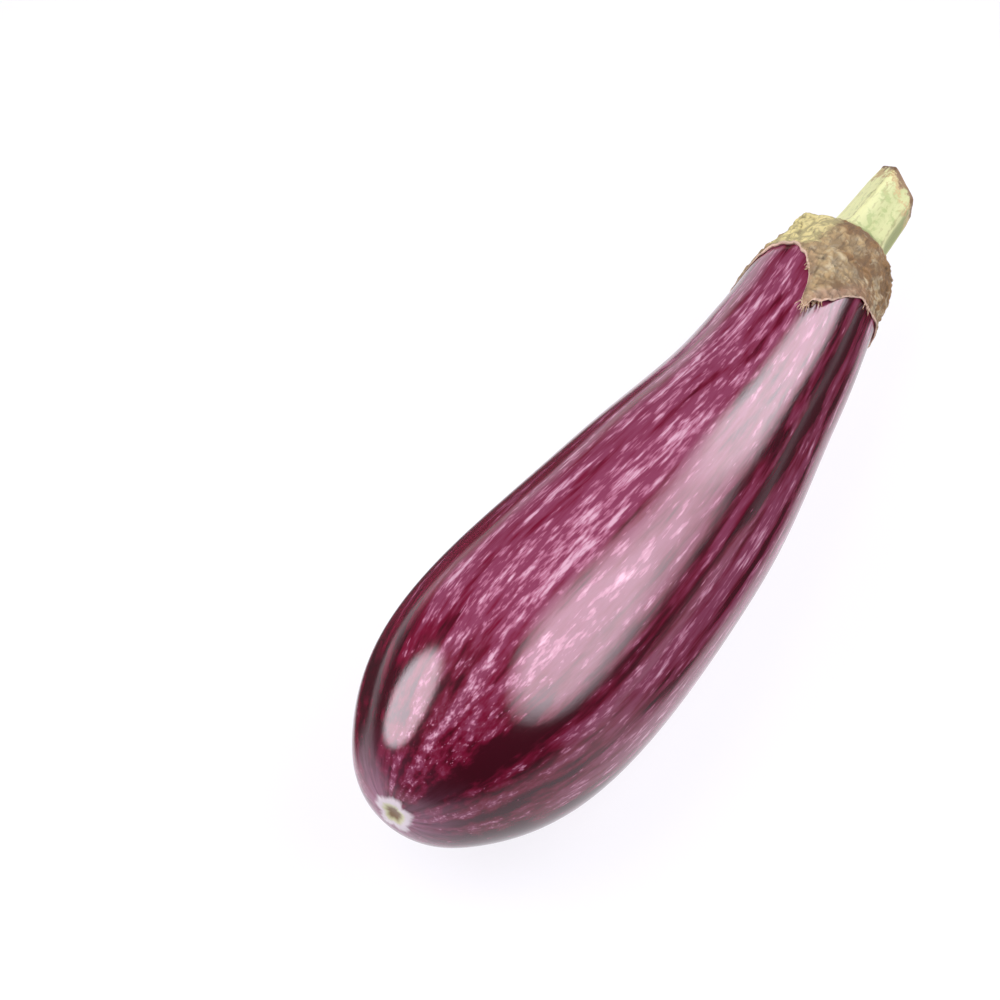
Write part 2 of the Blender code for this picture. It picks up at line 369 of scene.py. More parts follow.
def sweep(name, stations, inputs, shapePoint):
    # shapePoint gives each point's distance from the line and its push along it
    inputs = {**inputs, "Growing Up": growingUp}
    tree, maker, given = newTree(name + "Sweep", inputs)
    line = maker.add("GeometryNodeMeshToCurve", {}, {0: given["Geometry"]})
    place = maker.add("GeometryNodeInputPosition")
    held = maker.add(
        "GeometryNodeCaptureAttribute",
        {"captures": {"centre": "VECTOR", "ahead": "VECTOR"}},
        {"Geometry": line, "centre": place, "ahead": maker.add("GeometryNodeInputTangent")},
    )
    centre = Field(maker, held.socket.node.outputs["centre"])
    ahead = Field(maker, held.socket.node.outputs["ahead"])
    named = {}
    for label in ("along", "girth", "shift"):
        named[label] = maker.add("GeometryNodeInputNamedAttribute", {"data_type": "FLOAT"}, {"Name": label})
    upright = maker.add("GeometryNodeSetCurveNormal", {"mode": "Z_UP"}, {0: held})
    ring = maker.add("GeometryNodeCurvePrimitiveCircle", {}, {"Resolution": given["Sides"], "Radius": 1.0})
    tube = maker.add(
        "GeometryNodeCurveToMesh", {}, {"Curve": upright, "Profile Curve": ring, "Scale": named["girth"]}
    )
    outward = place.minus(centre).scaled(1.0 / named["girth"])
    side = given["Growing Up"].cross(ahead).unit()
    top = ahead.cross(side)
    across, upwards = outward.dot(side), outward.dot(top)
    radius, push = shapePoint(maker, given, named["along"], named["girth"], across, upwards)
    push = push + named["shift"]
    skin = tube
    stored = {"growth": maker.join(across, upwards, named["along"] + push), "fromAxis": radius}
    for label, field in stored.items():
        sort = "FLOAT_VECTOR" if label == "growth" else "FLOAT"
        skin = maker.add(
            "GeometryNodeStoreNamedAttribute",
            {"data_type": sort, "domain": "POINT"},
            {"Geometry": skin, "Name": label, "Value": field},
        )
    shaped = centre.plus(outward.scaled(radius)).plus(ahead.scaled(push))
    skin = maker.add("GeometryNodeSetPosition", {}, {"Geometry": skin, "Position": shaped})
    x, y, z = place.parts()
    onTable = maker.join(x, y, z.atLeast(0.0))
    skin = maker.add("GeometryNodeSetPosition", {}, {"Geometry": skin, "Position": onTable})
    skin = maker.add("GeometryNodeMergeByDistance", {}, {"Geometry": skin, "Distance": 1e-6})
    skin = maker.add("GeometryNodeSetShadeSmooth", {}, {"Geometry": skin})
    endTree(maker, skin, given["Finish"])
    thing = bakeTree(lineObject(name, stations), tree, inputs)
    faceOutwards(thing)
    return thing


# Skin: streaks that follow the growth, from the blossom end to the neck

skinLook = {
    "shade": ink(62, 3, 20),  # the dark ground between streaks
    "ground": ink(116, 12, 46),
    "mauve": ink(138, 62, 92),
    "streak": ink(184, 112, 142),
    "paleStreak": ink(226, 180, 202),
    "roughness": 0.13,
    "stretchFrom": 0.027,  # streaks are twice as long here as at the blossom end
    "endRadius": 0.027,  # below this radius the streaks break up into specks of one size
    "lightSide": 84,  # degrees round the line: where pale streaks crowd
    "paleLane": (103, 0.035, -400),  # degrees, at this distance, and its turn in degrees a metre
    "darkLane": 136,
    "pinkLane": 158,
    "darkSide": 34,
    "redEnd": 62,  # fewer streaks here near the blossom end
    "lanes": (5.5, 30.0, 3.0),  # how fine round the fruit, how fine along it, and a seed
    "bunches": (14.0, 110.0, 11.0),
    "fine": (25.0, 420.0, 23.0),
    "dashes": (46.0, 820.0, 37.0),
    "grain": (90.0, 1500.0, 51.0),
    "waver": 0.4,
}


def growthParts(maker):
    # the section's two directions and the distance along the growing line, kept on every point
    return maker.add("ShaderNodeAttribute", {"attribute_name": "growth"}, {}, "Vector").parts()


def streaksOf(maker, growthXyz, around, lengthwise, seed):
    x, y, along = growthXyz
    start = skinLook["stretchFrom"]
    stretched = (along.atLeast(0.0) / start + 1.0).math("LOGARITHM", math.e) * start
    place = maker.join(x * around + seed, y * around, stretched * lengthwise)
    waver = maker.cloudVector(place, 0.35)
    return place.plus(waver.scaled(skinLook["waver"]))


def newMaterial(name):
    # a material, the maker of its nodes, and its shader
    material = bpy.data.materials.new(name)
    material.use_nodes = True
    maker = Maker(material.node_tree)
    return material, maker, material.node_tree.nodes["Principled BSDF"]


def feed(maker, shader, values):
    for label, value in values.items():
        if isinstance(value, Field):
            maker.tree.links.new(value.socket, shader.inputs[label])
        else:
            shader.inputs[label].default_value = value


def sideMask(x, y, degrees, sharpness):
    # 1 on the side at this angle, falling off round the fruit
    turn = math.radians(degrees)
    return (x * math.cos(turn) + y * math.sin(turn)).atLeast(0.0) ** sharpness


def turningLane(x, y, along, lane, sharpness):
    # a side mask whose angle changes along the fruit
    degrees, at, turn = lane
    angle = (along - at) * math.radians(turn) + math.radians(degrees)
    return (x * angle.math("COSINE") + y * angle.math("SINE")).atLeast(0.0) ** sharpness


def paintSkin():
    material, maker, shader = newMaterial("streakedSkin")
    x, y, along = growthParts(maker)
    fromAxis = maker.add("ShaderNodeAttribute", {"attribute_name": "fromAxis"}, {}, "Fac")
    ratio = fromAxis / skinLook["endRadius"]
    spread = ratio / (ratio**4.0 + 1.0) ** 0.25
    specks = (x * spread, y * spread, along)
    broad = maker.cloud(maker.join(x * 1.7, y * 1.7, along * 13.0), 1.0, 2.0)
    lanes = maker.cloud(streaksOf(maker, (x, y, along), *skinLook["lanes"]), 1.0, 2.0)
    bunches = maker.cloud(streaksOf(maker, specks, *skinLook["bunches"]), 1.0, 3.0, 0.6)
    fine = maker.cloud(streaksOf(maker, specks, *skinLook["fine"]), 1.0, 2.0, 0.6)
    dashes = maker.cloud(streaksOf(maker, specks, *skinLook["dashes"]), 1.0, 2.0, 0.6)
    lightSide = sideMask(x, y, skinLook["lightSide"], 9.0)
    paleLane = turningLane(x, y, along, skinLook["paleLane"], 60.0)
    darkLane = sideMask(x, y, skinLook["darkLane"], 40.0)
    pinkLane = sideMask(x, y, skinLook["pinkLane"], 40.0)
    darkSide = sideMask(x, y, skinLook["darkSide"], 10.0)
    bulbEnd = 1.0 - maker.rise(along, 0.014, 0.046)
    redEnd = bulbEnd * (sideMask(x, y, skinLook["redEnd"], 12.0) * 0.12 + 0.10)
    density = (broad - 0.5) * 0.4 + lightSide * 0.12 + paleLane * 0.13 + pinkLane * 0.04
    density = density - darkLane * 0.15 - darkSide * 0.15 - redEnd
    presence = density + (lanes - 0.5) * 0.9 + (bunches - 0.5) * 0.9
    grounded = maker.rise(presence + darkSide * 0.2, -0.22, 0.04)
    ground = maker.mix(grounded, skinLook["shade"], skinLook["ground"])
    mauved = maker.rise(presence - bulbEnd * 0.08 + (fine - 0.5) * 0.4, -0.14, 0.14)
    ground = maker.mix(mauved, ground, skinLook["mauve"])
    level = presence + (fine - 0.5) * 1.15 + (dashes - 0.5) * 0.9
    colour = maker.mix(maker.rise(level, 0.13, 0.31) * 0.9, ground, skinLook["streak"])
    colour = maker.mix(maker.rise(level, 0.27, 0.54) * 0.9, colour, skinLook["paleStreak"])
    colour = paintScar(maker, x, y, along, fromAxis, colour)
    grain = maker.cloud(streaksOf(maker, specks, *skinLook["grain"]), 1.0, 2.0)
    bump = maker.add("ShaderNodeBump", {}, {"Strength": 0.06, "Distance": 0.0002, "Height": grain})
    values = {
        "Base Color": colour,
        "Roughness": maker.rise(grain, 0.3, 0.7) * 0.04 + (skinLook["roughness"] - 0.02),
        "Normal": bump,
        "Specular Tint": (1.0, 0.93, 0.99, 1.0),
        "Specular IOR Level": 0.5,
        "IOR": 1.53,
    }
    feed(maker, shader, values)
    return material


scarLook = {
    "rim": ink(248, 234, 242),
    "ring": ink(222, 220, 172),
    "core": ink(132, 100, 58),
    "halo": ink(178, 116, 148),
    "rimRadius": 0.0046,
    "ringRadius": 0.0028,
    "coreRadius": 0.0019,
    "haloRadius": 0.0105,
}


def paintScar(maker, x, y, along, fromAxis, colour):
    # rings round the blossom end, the outer ones ragged, in a haze that runs out along the streaks
    spikes = maker.cloud(maker.join(x * 4.0, y * 4.0, fromAxis * 300.0), 1.0, 3.0, 0.6) - 0.5
    rays = maker.cloud(maker.join(x * 9.0, y * 9.0, fromAxis * 140.0), 1.0, 3.0, 0.6) - 0.5
    blunt = maker.cloud(maker.join(x * 1.3, y * 1.3, 7.0), 1.0, 1.0) - 0.5
    atEnd = 1.0 - maker.rise(along, 0.02, 0.03)

    def inside(radius, soft, ragged):
        edge = fromAxis - (spikes * 0.0024 + blunt * 0.0050) * ragged
        return (1.0 - maker.rise(edge, radius - soft, radius + soft)) * atEnd

    away = 1.0 - sideMask(x, y, 104, 3.0) * 0.85
    halo = inside(scarLook["haloRadius"], 0.008, 1.0) * maker.rise(rays, -0.45, 0.20) * away
    colour = maker.mix(halo * 0.9, colour, scarLook["halo"])
    colour = maker.mix(inside(scarLook["rimRadius"], 0.0008, 1.0), colour, scarLook["rim"])
    colour = maker.mix(inside(scarLook["ringRadius"], 0.0006, 0.4), colour, scarLook["ring"])
    return maker.mix(inside(scarLook["coreRadius"], 0.0007, 0.4), colour, scarLook["core"])


# Fruit

fruitBody = {
    "length": 0.1867,
    "profile": (  # distance and radius
        (0.0, 0.0),
        (0.005, 0.0132),
        (0.012, 0.0191),
        (0.020, 0.0237),
        (0.032, 0.0278),
        (0.048, 0.0296),
        (0.062, 0.0294),
        (0.076, 0.0284),
        (0.092, 0.0269),
        (0.108, 0.0250),
        (0.1245, 0.0222),
        (0.1405, 0.0196),
        (0.1535, 0.0181),
        (0.1635, 0.0169),
        (0.1695, 0.0163),
        (0.1867, 0.0155),
    ),
    "shoulderAt": 0.1692,
    "shoulderPower": 2.6,
    "unevenness": 0.008,  # share of the radius
    "scarRadius": 0.0042,
    "scarDepth": 0.0008,
    "sides": 200,
    "rings": 300,
}
profileCurve = evenCurve([(math.sqrt(x), r) for x, r in fruitBody["profile"]])


def fruitGirth(distance):
    radius = profileCurve(math.sqrt(distance))
    if distance > fruitBody["shoulderAt"]:
        share = (distance - fruitBody["shoulderAt"]) / (fruitBody["length"] - fruitBody["shoulderAt"])
        radius *= math.sqrt(max(0.0, 1 - share ** fruitBody["shoulderPower"]))
    return radius


def fruitRadius(distance, angle):
    uneven = math.cos(2 * angle + 0.7) + 0.6 * math.cos(3 * angle + 25 * distance)
    return fruitGirth(min(distance, fruitBody["length"])) * (1 + fruitBody["unevenness"] * uneven)


def shapeFruit(maker, given, along, girth, across, upwards):
    angle = upwards.math("ARCTAN2", across)
    twofold = (angle * 2.0 + 0.7).math("COSINE")
    threefold = (angle * 3.0 + along * 25.0).math("COSINE")
    radius = girth * ((twofold + threefold * 0.6) * given["Unevenness"] + 1.0)
    nearPole = (1.0 - (girth / given["Scar Radius"]) ** 2.0).atLeast(0.0) ** 2.0
    atEnd = 1.0 - maker.rise(along, 0.01, 0.02)
    return radius, nearPole * atEnd * given["Scar Depth"]


def growFruit():
    rings = fruitBody["rings"]
    stations = []
    for i in range(rings + 1):
        distance = fruitBody["length"] * (1 - math.cos(math.pi * i / rings)) / 2
        stations.append((distance, 0.0 if i in (0, rings) else fruitGirth(distance), 0.0))
    inputs = {
        "Sides": fruitBody["sides"],
        "Unevenness": fruitBody["unevenness"],
        "Scar Radius": fruitBody["scarRadius"],
        "Scar Depth": fruitBody["scarDepth"],
        "Finish": paintSkin(),
    }
    fruit = sweep("fruitSkin", stations, inputs, shapeFruit)
    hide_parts("fruit")
    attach(fruit, "root")


growFruit()
print("fruit grown")


# Calyx

calyxCap = {
    "gap": 0.0003,
    "crownAt": 0.1911,
    "capFrom": 0.1702,
    "cap": (  # distance and radius over the shoulder
        (0.1732, 0.01655),
        (0.1772, 0.01565),
        (0.1802, 0.0152),
        (0.1832, 0.0146),
        (0.1867, 0.0135),
        (0.1886, 0.0123),
        (0.1900, 0.0110),
        (0.1911, 0.0097),
    ),
    "edge": (  # angle, and how far down the fruit the calyx reaches there
        (6, 0.1656),
        (16, 0.1682),
        (27, 0.1707),
        (38, 0.1728),
        (52, 0.1740),
        (64, 0.1742),
        (76, 0.1725),
        (88, 0.1686),
        (95, 0.1638),
        (99, 0.1574),
        (103, 0.1555),
        (109, 0.1582),
        (118, 0.1612),
        (128, 0.1662),
        (142, 0.1694),
        (160, 0.1702),
        (178, 0.1720),
        (196, 0.1716),
        (209, 0.1677),
        (222, 0.1587),
        (235, 0.1662),
        (252, 0.1717),
        (268, 0.1692),
        (282, 0.1612),
        (290, 0.1577),
        (300, 0.1624),
        (315, 0.1702),
        (330, 0.1724),
        (345, 0.1702),
        (358, 0.1667),
    ),
    "sepals": (6, 46, 106, 164, 222, 290),  # angles of the midribs
    "ragged": 0.0007,
    "sepalSpread": 9,
    "troughAt": 36,  # from a midrib
    "torn": ((6, 0.3), (103, 1.0), (222, 0.5), (290, 0.5)),  # angles of the torn tips, and how torn
    "tornSpread": 7,
    "wall": 0.0006,
    "rimWall": 0.00028,
    "lift": 0.00003,
    "liftLength": 0.0022,
    "curl": 0.0006,
    "gaping": (107, 115),  # angles where the rim stands off the skin
    "gape": 0.0011,
    "gapeSpread": 2.6,
    "ridge": 0.0006,
    "wrinkle": 0.00035,
    "swell": 0.0007,
    "fold": 0.0007,
    "crease": 0.00026,
    "grain": 0.00005,
    "noiseRadius": 0.0155,  # of the cylinder that its noises are laid round
    "knuckle": 0.0009,
    "knuckleAngle": 46,
    "knuckleSpread": 16,
    "knuckleAt": 0.1868,
    "knuckleLength": 0.0032,
    "sides": 640,
    "outerSteps": 86,
    "innerSteps": 22,
    "rootRadius": 0.0054,
    "seed": 5,  # of the noise that bends its wrinkles
}


def spotOf(angle, distance, size):
    # a place on the cap in steps of the size, in metres, for its noises
    reach = calyxCap["noiseRadius"] / size
    return Vector((math.cos(angle) * reach, math.sin(angle) * reach, distance / size))


def apart(angle, degrees):
    return (math.degrees(angle) - degrees + 180) % 360 - 180


def tearAt(angle):
    spread = calyxCap["tornSpread"]
    return max(much * math.exp(-((apart(angle, tip) / spread) ** 2)) for tip, much in calyxCap["torn"])


def calyxEdge(angle):
    degrees = math.degrees(angle) % 360
    first = calyxCap["edge"][0]
    around = calyxCap["edge"] + ((first[0] + 360, first[1]),)
    if degrees < first[0]:
        degrees += 360
    edge = smoothCurve(around, degrees)
    edge += calyxCap["ragged"] * noise.noise(Vector((math.cos(angle), math.sin(angle), 0.3)) * 9)
    nicks = noise.noise(spotOf(angle, 0.3, 0.0011)) * 0.00022
    nicks += noise.noise(spotOf(angle, 0.7, 0.0004)) * 0.00012
    return edge + nicks * (1 + 6 * tearAt(angle))


def valley(place, width):
    # 1 along the lines where the noise changes sign, which run like wrinkles
    return math.exp(-((noise.noise(place) / width) ** 2))


def calyxRelief(distance, angle, edge):
    nearest = min(abs(apart(angle, s)) for s in calyxCap["sepals"])
    spread = calyxCap["sepalSpread"]
    rib = math.exp(-((nearest / spread) ** 2))
    rib -= 0.5 * math.exp(-(((nearest - calyxCap["troughAt"]) / spread) ** 2))
    along = math.sin(math.pi * (distance - edge) / (calyxCap["crownAt"] - edge))
    spot = Vector((math.cos(angle) * 5, math.sin(angle) * 5, distance * 160))
    side = (apart(angle, calyxCap["knuckleAngle"]) / calyxCap["knuckleSpread"]) ** 2
    away = ((distance - calyxCap["knuckleAt"]) / calyxCap["knuckleLength"]) ** 2
    knuckle = calyxCap["knuckle"] * math.exp(-side - away)
    broad = along * (calyxCap["ridge"] * rib + calyxCap["wrinkle"] * noise.noise(spot)) + knuckle
    full = 0.2 + 0.8 * between(distance - edge, 0.0005, 0.005)
    place = spotOf(angle, distance, 0.0042)
    warped = place + noise.noise_vector(place * 1.3) * 0.6
    fold = valley(warped, 0.2)
    small = spotOf(angle, distance, 0.0019) + noise.noise_vector(place * 2.1) * 0.7
    crease = valley(small, 0.2)
    swell = noise.noise(spotOf(angle, distance, 0.0026))
    grain = noise.noise(spotOf(angle, distance, 0.0007))
    fine = calyxCap["swell"] * swell - calyxCap["fold"] * fold - calyxCap["crease"] * crease
    fine += calyxCap["grain"] * grain
    # the second value is painted shade: high in the folds and creases, low on the swells
    return broad + full * fine, fold * 0.65 + crease * 0.5 - swell * 0.25


def calyxLift(distance, angle, edge):
    curl = calyxCap["curl"] * max(0.0, noise.noise(spotOf(angle, 0.1, 0.004)))
    spread = calyxCap["gapeSpread"]
    gape = max(math.exp(-((apart(angle, degrees) / spread) ** 2)) for degrees in calyxCap["gaping"])
    curl += calyxCap["gape"] * gape
    return (calyxCap["lift"] + curl) * math.exp(-(((distance - edge) / calyxCap["liftLength"]) ** 2))


def clearance(distance, edge):
    # the rim lies on the skin
    return calyxCap["gap"] * (0.15 + 0.85 * between(distance - edge, 0.0, 0.003))


def calyxOuter(distance, angle, edge):
    thicker = calyxCap["wall"] - calyxCap["rimWall"]
    wall = calyxCap["rimWall"] + thicker * between(distance - edge, 0.0, 0.004)
    snug = fruitRadius(min(distance, calyxCap["capFrom"]), angle) + clearance(distance, edge) + wall
    if distance > calyxCap["capFrom"]:
        first = calyxCap["cap"][0][0]
        share = min(1.0, (distance - calyxCap["capFrom"]) / (first - calyxCap["capFrom"]))
        snug += (smoothCurve(calyxCap["cap"], distance) - snug) * share
    relief, foldShade = calyxRelief(distance, angle, edge)
    return max(snug + relief, snug - wall * 0.5) + calyxLift(distance, angle, edge), foldShade


def growCalyx():
    noise.seed_set(calyxCap["seed"])
    shell = bmesh.new()
    growthLayer = shell.verts.layers.float_vector.new("growth")
    leafLayer = shell.verts.layers.float_vector.new("leaf")
    hole = calyxCap["rootRadius"] + calyxCap["gap"]
    top = fruitBody["length"] + 2 * calyxCap["gap"]
    sections = []
    for k in range(calyxCap["sides"]):
        angle = 2 * math.pi * k / calyxCap["sides"]
        edge = calyxEdge(angle)
        column = []

        def put(distance, radius, foldShade):
            vert = shell.verts.new(onSection(distance, angle, radius))
            vert[growthLayer] = (math.cos(angle), math.sin(angle), distance)
            vert[leafLayer] = ((distance - edge) * 1000, foldShade, 0)
            column.append(vert)

        steps = calyxCap["outerSteps"]
        for i in range(steps + 1):
            at = calyxCap["crownAt"] - (calyxCap["crownAt"] - edge) * (i / steps) ** 0.9
            radius, foldShade = calyxOuter(at, angle, edge)
            put(at, radius, foldShade)
        steps = calyxCap["innerSteps"]
        for i in range(steps):
            at = edge + (fruitBody["length"] - edge) * math.sin(i / steps * math.pi / 2)
            radius = max(fruitRadius(at, angle), calyxCap["rootRadius"]) + clearance(at, edge)
            radius += calyxLift(at, angle, edge)
            put(at + 2 * calyxCap["gap"] * (at - edge) / (top - edge), radius, 0)
        put(top, hole, 0)
        put(calyxCap["crownAt"] - calyxCap["gap"], hole, 0)
        sections.append(column)
    for k, here in enumerate(sections):
        there = sections[(k + 1) % len(sections)]
        for i in range(len(here)):
            nxt = (i + 1) % len(here)
            shell.faces.new((here[i], here[nxt], there[nxt], there[i]))
    bmesh.ops.recalc_face_normals(shell, faces=shell.faces[:])
    mesh = bpy.data.meshes.new("calyxCap")
    shell.to_mesh(mesh)
    shell.free()
    mesh.shade_smooth()
    mesh.materials.append(paintCalyx())
    calyx = addObject("calyxCap", mesh)
    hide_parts("calyx")
    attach(calyx, "root")


calyxLook = {
    "tan": ink(182, 154, 106),
    "brown": ink(140, 104, 58),
    # crease: painted shade for the folds, creases and vein grooves
    "crease": ink(74, 54, 34),
    "cream": ink(206, 190, 154),
    "fresh": ink(232, 220, 152),
    "pink": ink(172, 130, 108),
    "rim": ink(222, 190, 168),
    "stalk": ink(182, 172, 116),
}


def paintCalyx():
    material, maker, shader = newMaterial("driedCalyx")
    x, y, along = growthParts(maker)
    leaf = maker.add("ShaderNodeAttribute", {"attribute_name": "leaf"}, {}, "Vector")
    fromRim, foldShade, _ = leaf.parts()
    reach = calyxCap["noiseRadius"] * 1000
    place = maker.join(x * reach, y * reach, along * 1000.0)  # millimetres on the cap
    blotch = maker.cloud(place, 0.16, 3.0, 0.55, 0.4)
    mottle = maker.cloud(place, 0.6, 4.0, 0.6, 0.3)
    grain = maker.cloud(place, 2.2, 3.0, 0.6)
    veins = maker.cloud(maker.join(x * reach, y * reach, along * 260.0), 1.1, 4.0, 0.62, 0.5)
    brownSide = sideMask(x, y, 168, 3.0)
    crown = maker.rise(along, 0.1835, 0.1885) * sideMask(x, y, 100, 2.0)
    brownedAndShaded = maker.rise(blotch + brownSide * 0.24 + crown * 0.22, 0.50, 0.68)
    colour = maker.mix(brownedAndShaded, calyxLook["tan"], calyxLook["brown"])
    # less cream where the painted fold shade is deep
    creamed = maker.rise(mottle + (blotch - 0.5) * -0.6 - foldShade * 0.1 - crown * 0.1, 0.42, 0.68)
    colour = maker.mix(creamed * 0.85, colour, calyxLook["cream"])
    pinkBand = sideMask(x, y, 116, 10.0) * (1.0 - maker.rise(fromRim + (blotch - 0.5) * 6.0, 2.0, 7.0))
    colour = maker.mix(pinkBand * 0.7, colour, calyxLook["pink"])
    fresh = sideMask(x, y, 56, 9.0) * maker.rise(along, 0.172, 0.178)
    colour = maker.mix(maker.rise(fresh + (mottle - 0.5) * 0.8, 0.2, 0.5) * 0.9, colour, calyxLook["fresh"])
    # painted shade: the crease colour laid in the folds and creases
    colour = maker.mix(maker.rise(foldShade + (mottle - 0.5) * 1.2, 0.1, 0.9) * 0.5, colour, calyxLook["crease"])
    # painted shade in the grooves of the veins' bump
    colour = maker.mix((1.0 - maker.rise(veins, 0.34, 0.50)) * 0.45, colour, calyxLook["crease"])
    farFoot = sideMask(x, y, 36, 4.0)
    foot = maker.rise(along + (blotch - 0.5) * 0.002 + farFoot * 0.0016, 0.1902, 0.1907)
    colour = maker.mix(foot, colour, calyxLook["stalk"])
    rim = 1.0 - maker.rise(fromRim + (mottle - 0.5) * 2.2, 0.2, 0.85)
    colour = maker.mix(rim, colour, calyxLook["rim"])
    crumple = (mottle - 0.5).math("ABSOLUTE")
    height = crumple * 1.6 + grain * 0.35 + veins * 0.6
    bump = maker.add("ShaderNodeBump", {}, {"Strength": 0.9, "Distance": 0.0006, "Height": height})
    feed(maker, shader, {"Base Color": colour, "Roughness": 0.72, "Normal": bump})
    return material


growCalyx()
print("calyx grown")


# Torn fibres of the calyx: Geometry Nodes lay a tapered, curling thread at each root

tornFibres = {
    "places": (  # angle, spread in degrees, and how many
        (102, 4, 9),
        (109, 4, 7),
        (88, 8, 4),
        (222, 8, 10),
        (290, 8, 10),
        (150, 9, 4),
    ),
    "length": 0.0042,
    "thickness": 0.00018,
    "curl": 0.0009,
    "wander": 0.0022,
    "points": 10,
    "sides": 6,
    "seed": 5,
}


def fibreRoots():
    mesh = bpy.data.meshes.new("calyxFibres")
    points, downs, outs = [], [], []
    for middle, spread, count in tornFibres["places"]:
        for i in range(count):
            scatter = noise.noise(Vector((middle * 1.7, i * 2.3, 0.5))) * 1.6
            angle = math.radians(middle + spread * scatter)
            at = calyxEdge(angle) + 0.0004
            radius = fruitRadius(at, angle) + calyxCap["rimWall"]
            below = onSection(at - 0.001, angle + 0.02 * scatter, fruitRadius(at - 0.001, angle) + 0.0004)
            point = onSection(at, angle, radius)
            points.append(point)
            downs.append((below - point).normalized())
            outs.append((point - growingLine(at)[0]).normalized())
    mesh.from_pydata(points, [], [])
    for label, vectors in (("down", downs), ("out", outs)):
        layer = mesh.attributes.new(label, "FLOAT_VECTOR", "POINT")
        layer.data.foreach_set("vector", [value for vector in vectors for value in vector])
    return addObject("calyxFibres", mesh)


def fibreTree(inputs):
    tree, maker, given = newTree("fibreThreads", inputs)
    chance = maker.add(
        "FunctionNodeRandomValue", {"data_type": "FLOAT"}, {2: 0.3, 3: 1.0, "Seed": given["Seed"]}, 1
    )
    roots = given["Geometry"]
    for label, sort, field in (
        ("root", "FLOAT_VECTOR", maker.add("GeometryNodeInputPosition")),
        ("chance", "FLOAT", chance),
    ):
        roots = maker.add(
            "GeometryNodeStoreNamedAttribute",
            {"data_type": sort, "domain": "POINT"},
            {"Geometry": roots, "Name": label, "Value": field},
        )

    def named(label, sort="FLOAT_VECTOR"):
        return maker.add("GeometryNodeInputNamedAttribute", {"data_type": sort}, {"Name": label})

    line = maker.add("GeometryNodeCurvePrimitiveLine")
    line = maker.add("GeometryNodeResampleCurve", {}, {"Curve": line, "Count": given["Points"]})
    threads = maker.add("GeometryNodeInstanceOnPoints", {}, {"Points": roots, "Instance": line})
    threads = maker.add("GeometryNodeRealizeInstances", {}, {0: threads})
    reach = maker.add("GeometryNodeSplineParameter")
    own = named("chance", "FLOAT")
    span = given["Length"] * own * reach
    drift = maker.join(reach * 0.8, own * 9.0, 0.0)
    stray = maker.cloudVector(named("root").scaled(3000.0).plus(drift), 1.0)
    bent = named("root").plus(named("down").scaled(span))
    bent = bent.plus(named("out").scaled(given["Curl"] * own * reach * reach))
    bent = bent.plus(stray.scaled(given["Wander"] * reach))
    threads = maker.add("GeometryNodeSetPosition", {}, {"Geometry": threads, "Position": bent})
    ring = maker.add(
        "GeometryNodeCurvePrimitiveCircle", {}, {"Resolution": given["Sides"], "Radius": given["Thickness"]}
    )
    tubes = maker.add(
        "GeometryNodeCurveToMesh",
        {},
        {"Curve": threads, "Profile Curve": ring, "Scale": 1.0 - reach * 0.8, "Fill Caps": True},
    )
    tubes = maker.add("GeometryNodeSetShadeSmooth", {}, {"Geometry": tubes})
    endTree(maker, tubes, given["Finish"])
    return tree


def growFibres():
    inputs = {
        "Length": tornFibres["length"],
        "Thickness": tornFibres["thickness"],
        "Curl": tornFibres["curl"],
        "Wander": tornFibres["wander"],
        "Points": tornFibres["points"],
        "Sides": tornFibres["sides"],
        "Seed": tornFibres["seed"],
        "Finish": paintFibres(),
    }
    fibres = bakeTree(fibreRoots(), fibreTree(inputs), inputs)
    faceOutwards(fibres)
    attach(fibres, "root")


def paintFibres():
    material, maker, shader = newMaterial("dryFibre")
    place = maker.add("ShaderNodeTexCoord", {}, {}, "Object")
    patches = maker.cloud(place, 900.0, 2.0)
    colour = maker.mix(maker.rise(patches, 0.35, 0.65), calyxLook["rim"], calyxLook["brown"])
    feed(maker, shader, {"Base Color": colour, "Roughness": 0.75})
    return material


growFibres()
print("fibres grown")


# Stem

stemPost = {
    "end": 0.2138,
    "profile": (  # distance above the crown, and the radius over the ribs
        (0.0, 0.0096),
        (0.0015, 0.0088),
        (0.004, 0.0081),
        (0.008, 0.0077),
        (0.0135, 0.0074),
        (0.018, 0.0072),
        (0.0228, 0.0067),
    ),
    "ribs": 5.0,
    "firstRib": 77,  # degrees
    "ribHeight": 0.18,
    "cutSlant": 0.6,
    "cutHighSide": -5,  # degrees
    "cutFlat": 0.86,  # share of its radius inside the rounded rim
    "cutRound": 0.0005,
    "cutDish": 0.0004,
    "cutRings": 24,
    "sides": 220,
    "rings": 120,
}


def shapeStem(maker, given, along, girth, across, upwards):
    angle = upwards.math("ARCTAN2", across)
    half = (angle - given["First Rib"]) * (given["Ribs"] * 0.5)
    groove = (half.math("SINE") ** 2.0 + 0.02).math("SQRT")
    share = ((along - given["Foot"]) / (given["End"] - given["Foot"])).within()
    standing = maker.rise(share, 0.0, 0.02)
    furrows = maker.cloud(maker.join(across * 5.0, upwards * 5.0, along * 60.0), 1.0, 3.0, 0.6) - 0.5
    radius = girth * (1.0 - groove * given["Rib Height"] * standing + furrows * standing * 0.05)
    tilt = (angle - given["Cut High Side"]).math("COSINE")
    push = tilt * radius * given["Cut Slant"] * share ** 3.0
    return radius, push


